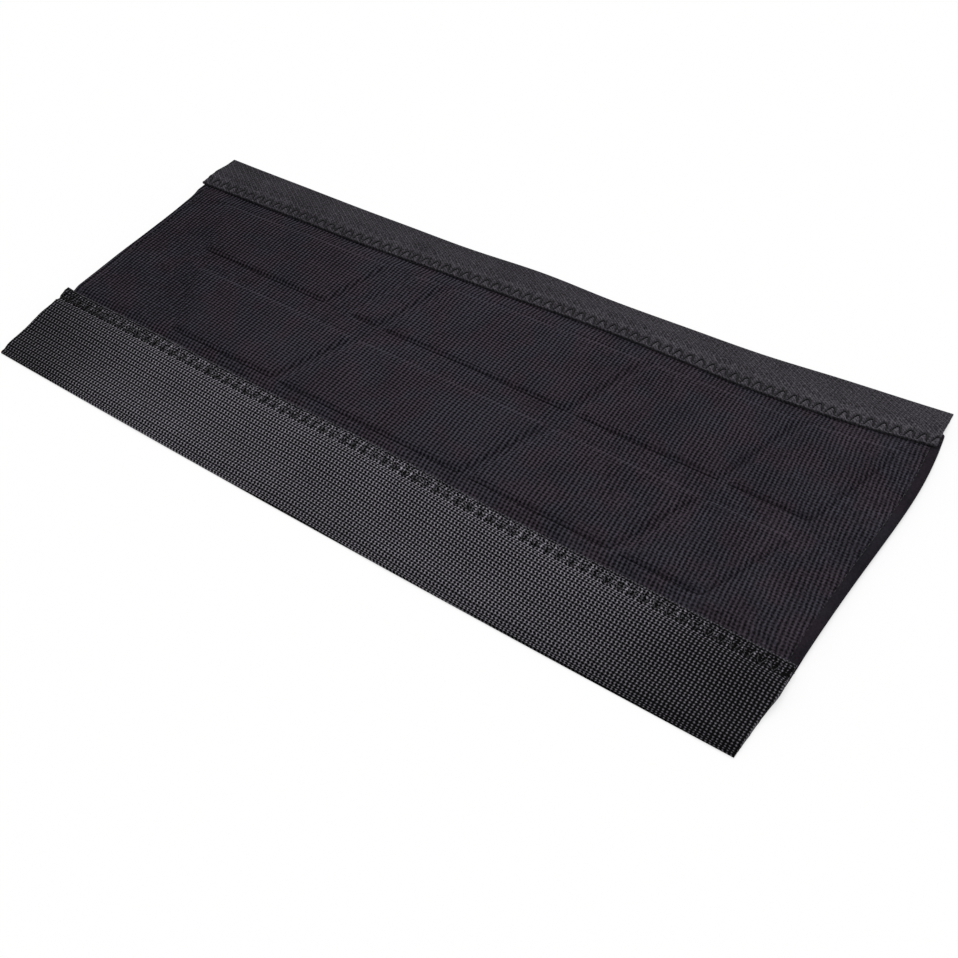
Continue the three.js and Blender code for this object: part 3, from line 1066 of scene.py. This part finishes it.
@dataclass
class SewnTape:
    """A woven tape that laps over the body and falls to the floor, in millimetres."""

    name: str
    side: Side
    width: float
    thickness: float
    fall_run: float
    outer_selvage: float
    narrow_reach: float
    narrow_inset: float
    seam: ZigzagSize
    narrow_hollow: float
    hollow_place: float
    wide_bulge: float = 0.0
    wide_inset: float = 1.4
    selvage: float = 1.2
    selvage_thickness: float = 0.7
    stitched_thickness: float = 0.86
    puff: float = 0.3
    pull: float = 0.3
    thread_sink: float = 0.0
    thread_depth: float = 0.42
    hole_depth: float = 0.3
    even_start: float = 6.45
    cut_roughness: float = 0.035
    column_step: float = 0.45
    corner_lift: float = 0.0
    seed: int = 5

    def inner_edge(self, x: np.ndarray) -> np.ndarray:
        """The edge that lies on the body."""
        return PLAN.hook_seam(x) if self.side is Side.HOOK else PLAN.loop_seam(x)

    def outer_edge(self, x: np.ndarray) -> np.ndarray:
        """The free edge."""
        return PLAN.front_edge(x) if self.side is Side.HOOK else PLAN.back_edge(x)

    def underside(self, distance: np.ndarray) -> np.ndarray:
        """Height of the tape's underside at a distance from its inner edge."""
        fallen = ease((distance - PLAN.seam_lap - PLAN.seam_margin) / self.fall_run)
        return PLAN.pressed_edge * (1 - fallen)

    def stations_across(self) -> np.ndarray:
        """Distances from the inner edge, close together at the edges and the stitches."""
        selvage_start = self.width - self.outer_selvage
        return np.concatenate([
            [0, 0.12, 0.3, 0.6, 0.9, 1.2],
            np.arange(1.6, 5.9, 0.42),
            np.arange(self.even_start, selvage_start - 1.2, 1.05),
            [selvage_start - 0.7, selvage_start - 0.35, selvage_start, selvage_start + 0.4],
            np.linspace(selvage_start + 0.8, self.width - 0.6, 3) if self.outer_selvage > 2 else [],
            [self.width - 0.3, self.width - 0.12, self.width],
        ])

    def full_thickness(self, distance: np.ndarray) -> np.ndarray:
        """Thickness at a distance from the inner edge."""
        past_selvage = ease((distance - self.selvage + 0.3) / 0.6)
        lapped = self.selvage_thickness + (self.stitched_thickness - self.selvage_thickness) * past_selvage
        pile = lapped + (self.thickness - self.stitched_thickness) * ease((distance - 5.5) / 1.2)
        bare = ease((distance - self.width + self.outer_selvage + 1.6) / 3.4)
        return pile + (self.selvage_thickness - self.thickness) * bare

    def build(self) -> bpy.types.Object:
        """Makes the tape's sheet."""
        half = PLAN.half_length
        distance = self.stations_across()
        columns = round((2 * half + self.narrow_reach) / self.column_step)
        share = np.linspace(0, 1, columns)[:, None]
        cut = np.random.default_rng(self.seed).normal(0, self.cut_roughness, (2, len(distance)))
        hollow = self.narrow_hollow * dent(distance - self.hollow_place, 3.8)
        start = -half - self.narrow_reach + self.narrow_inset * distance / self.width + hollow + cut[0]
        bulge = self.wide_bulge * dent(distance - 9.5, 4.5)
        finish = half - self.wide_inset * distance / self.width + bulge + cut[1]
        x = start + (finish - start) * share
        reach = np.abs(self.outer_edge(x) - self.inner_edge(x))
        spread = ease((distance - self.even_start) / (self.width - self.even_start))
        offset = distance + (reach - self.width) * spread
        y = self.inner_edge(x) + self.side.value * offset

        bottom = self.underside(distance) + 0 * x
        phase = self.seam.turns(x) % 1
        line = np.abs(self.seam.from_thread(phase, distance))
        sewn = ease(distance / 0.9) * ease((self.seam.width + 1.4 - distance) / 1.2)
        puffed = self.puff * sewn * (1 - dent(line, 0.75)) - self.pull * sewn * dent(line, 0.32)
        hole = dent(phase - 0.5, 0.13) * dent(distance - self.seam.width - 0.15, 0.55)
        rolled = np.minimum(distance, self.width - distance)
        edge_round = 0.4 + 0.6 * np.sqrt(1 - (1 - np.clip(rolled / 0.35, 0, 1)) ** 2)
        sway = 0.06 * np.sin(x / 17 + distance / 5) + 0.05 * np.sin(x / 7.3 + 2 * self.side.value)
        free = ease((distance - 7) / 6)
        top = bottom + self.full_thickness(distance) * edge_round + puffed
        top = top - self.hole_depth * hole + sway * free
        lift = self.corner_lift * dent(x + half, 2.2) * dent(distance, 2.6)
        bottom, top = bottom + lift, top + lift
        along, across, outer = x + 0 * distance, offset, reach - offset
        if self.side is Side.HOOK:
            x, y, bottom, top, along, across, outer = (
                grid[:, ::-1] for grid in (x, y, bottom, top, along, across, outer)
            )
        return Sheet(x, y, bottom, top, (along, across), {"outer_edge": outer}).build(self.name)

    def stitches(self, name: str) -> bpy.types.Object:
        """Makes the zigzag thread, which dips into the tape at every needle hole."""
        stitch = np.linspace(0, self.seam.stitches, self.seam.stitches * 16 + 1)
        x = -self.seam.reach + stitch * self.seam.pitch
        swing = self.seam.swing(stitch % 1)
        distance = self.seam.edge_distance + self.seam.depth * swing
        y = self.inner_edge(x) + self.side.value * distance
        proud = np.minimum(swing * 2.5, 1) * (1 - 0.8 * dent(stitch % 1 - 0.5, 0.09))
        surface = PLAN.pressed_edge + self.stitched_thickness
        z = surface - self.thread_depth - self.thread_sink + 0.5 * proud
        return thread_piece(name, [np.stack([x, y, z], axis=1)], self.seam.thread)


@dataclass
class HemStitches:
    """A row of small stitches in the groove of a hem, in millimetres."""

    name: str
    end: float
    thread: float = 0.36
    depth: float = 0.12
    swing: float = 0.26

    def build(self, body: BodyPanel) -> bpy.types.Object:
        """Makes the thread, which rises and dips once for each stitch.

        Args:
            body: The body that it is sewn to.

        Returns:
            The thread's object.
        """
        low = PLAN.hook_line(self.end) + PLAN.seam_margin
        high = PLAN.loop_seam(self.end) - PLAN.seam_margin
        count = int((high - low) / body.hem_pitch)
        share = np.linspace(0, 1, count * 8 + 1)
        y = low + (high - low) * share
        outline = PLAN.narrow_end(y) if self.end < 0 else PLAN.wide_end(y)
        x = outline - np.sign(self.end) * body.hem_width
        surface = body.thickness(np.full_like(y, self.end), y) - body.hem_groove * 0.8
        z = surface - self.depth + self.swing * np.cos(2 * np.pi * share * count)
        return thread_piece(self.name, [np.stack([x, y, z], axis=1)], self.thread)


@dataclass
class FrayedEnds:
    """Loose fibres at the wide cut ends of the tapes, in millimetres."""

    name: str = "tape_end_fibres"
    fibres: int = 16
    thickness: float = 0.14
    seed: int = 11

    def build(self) -> bpy.types.Object:
        """Makes the fibres, a few at the sewn corner of each tape."""
        rng = random.Random(self.seed)
        half = PLAN.half_length
        x = half - 0.2
        runs = []
        for y, inward in ((PLAN.loop_seam(half), 1.0), (PLAN.hook_seam(half), -1.0)):
            for _ in range(self.fibres):
                across = rng.uniform(0.2, 5.0)
                length = rng.uniform(0.4, 1.2)
                bend = rng.uniform(-0.9, 0.9)
                height = rng.uniform(2.0, 2.6)
                t = np.linspace(0, 1, 6)
                runs.append(np.stack([
                    x + (length * t - 0.6),
                    y + inward * across + bend * t**2,
                    height + rng.uniform(-0.8, 0.3) * t**2,
                ], axis=1))
        return thread_piece(self.name, runs, self.thickness)


@dataclass
class Studio:
    """White floor, soft lamps and the camera, in metres."""

    eye: tuple[float, float, float] = (0.190551, -0.246974, 0.299338)
    right: tuple[float, float, float] = (0.830035, 0.556163, -0.041534)
    up: tuple[float, float, float] = (-0.384517, 0.624625, 0.679699)
    back: tuple[float, float, float] = (0.403966, -0.548203, 0.732315)
    lens: float = 57.113
    floor_size: float = 6.0
    ambient: float = 0.42

    def camera(self) -> None:
        """Sets the camera at the photograph's angle."""
        data = bpy.data.cameras.new("camera")
        data.lens = self.lens
        data.sensor_width = 36.0
        data.clip_start = 0.01
        camera = put("camera", data)
        axes = Matrix((self.right, self.up, self.back)).transposed()
        camera.matrix_world = Matrix.Translation(self.eye) @ axes.to_4x4()
        bpy.context.scene.camera = camera

    def floor(self) -> None:
        """Lays the floor."""
        plane = bmesh.new()
        bmesh.ops.create_grid(plane, x_segments=1, y_segments=1, size=self.floor_size / 2)
        mesh = bpy.data.meshes.new("floor")
        plane.to_mesh(mesh)
        plane.free()
        mesh.materials.append(FloorFinish().build())
        floor = put("floor", mesh)

    def lamp(self, name: str, towards: Vector, spread: float, power: float) -> None:
        """Adds a broad, soft lamp far away, which lights the floor evenly.

        Args:
            name: The lamp's name.
            towards: Direction from the protector to the lamp.
            spread: Its apparent width in degrees.
            power: Its power in watts for a square metre that faces it.
        """
        data = bpy.data.lights.new(name, "SUN")
        data.angle = math.radians(spread)
        data.energy = power
        turned = towards.to_track_quat("Z", "Y").to_matrix().to_4x4()
        put(name, data).matrix_world = Matrix.Translation(towards) @ turned

    def world(self) -> None:
        """Sets an even world that is white where it is looked at."""
        shader = Shader(bpy.data.worlds.new("studio"))
        even = shader.node("ShaderNodeBackground", {}, {"Color": WHITE, "Strength": self.ambient})
        white = shader.node("ShaderNodeBackground", {}, {"Color": WHITE, "Strength": 1.0})
        inputs = {0: shader.looked_at(), 1: even.outputs[0], 2: white.outputs[0]}
        sky = shader.node("ShaderNodeMixShader", {}, inputs)
        shader.node("ShaderNodeOutputWorld", {}, {"Surface": sky.outputs[0]})
        bpy.context.scene.world = shader.holder

    def build(self) -> None:
        """Builds the whole studio."""
        self.camera()
        self.floor()
        self.world()
        self.lamp("back_lamp", towards=Vector((-0.12, 0.72, 0.88)), spread=34.0, power=1.48)
        self.lamp("top_lamp", towards=Vector((0.1, -0.15, 1.2)), spread=42.0, power=0.76)
        bpy.context.scene.view_settings.view_transform = "Standard"


def main() -> None:
    logging.basicConfig(level=logging.INFO, format="%(message)s")
    Studio().build()
    LOG.info("studio: floor, lamps and camera")

    body = BodyPanel()
    body_cloth = body.build()
    dress(body_cloth, KnitFinish().build(), "neoprene_knit", "body_panel")
    LOG.info("%s: %d faces", body_cloth.name, len(body_cloth.data.polygons))

    hook = SewnTape(
        name="hook_tape_web",
        side=Side.HOOK,
        width=PLAN.hook_tape_width,
        thickness=1.4,
        fall_run=14.0,
        outer_selvage=2.6,
        narrow_reach=0.0,
        narrow_inset=1.4,
        seam=HOOK_SEAM,
        narrow_hollow=1.0,
        hollow_place=8.0,
        wide_bulge=0.7,
        puff=0.06,
        pull=0.08,
        thread_sink=0.26,
        corner_lift=0.4,
    )
    loop = SewnTape(
        name="loop_tape_web",
        side=Side.LOOP,
        width=PLAN.loop_tape_width,
        thickness=1.1,
        fall_run=7.0,
        outer_selvage=1.2,
        narrow_reach=0.2,
        narrow_inset=-0.7,
        seam=LOOP_SEAM,
        narrow_hollow=0.8,
        hollow_place=8.0,
    )
    hook_web, loop_web = hook.build(), loop.build()
    dress(hook_web, HookFinish().build(), "hook_pile", "hook_tape")
    dress(loop_web, LoopFinish().build(), "tape_weave", "loop_tape")
    for web in (hook_web, loop_web):
        LOG.info("%s: %d faces", web.name, len(web.data.polygons))

    thread = ThreadFinish().build()
    pale = ThreadFinish("hook_seam_thread", lit=(0.05, 0.047, 0.054), deep=(0.006, 0.006, 0.007))
    pale_thread = pale.build()
    hook_thread = hook.stitches("hook_zigzag_stitches")
    loop_thread = loop.stitches("loop_zigzag_stitches")
    dress(hook_thread, pale_thread, "sewing_thread", "hook_tape_zigzag_thread")
    dress(loop_thread, thread, "sewing_thread", "loop_tape_zigzag_thread")
    narrow_thread = HemStitches("narrow_hem_stitches", -PLAN.half_length).build(body)
    wide_thread = HemStitches("wide_hem_stitches", PLAN.half_length).build(body)
    dress(narrow_thread, pale_thread, "sewing_thread", "narrow_end_hem_thread")
    dress(wide_thread, pale_thread, "sewing_thread", "wide_end_hem_thread")
    fibres = FrayedEnds().build()
    dress(fibres, thread, "sewing_thread")
    LOG.info("stitches: two zigzag seams, two hems and loose fibres")


if __name__ == "__main__":
    main()
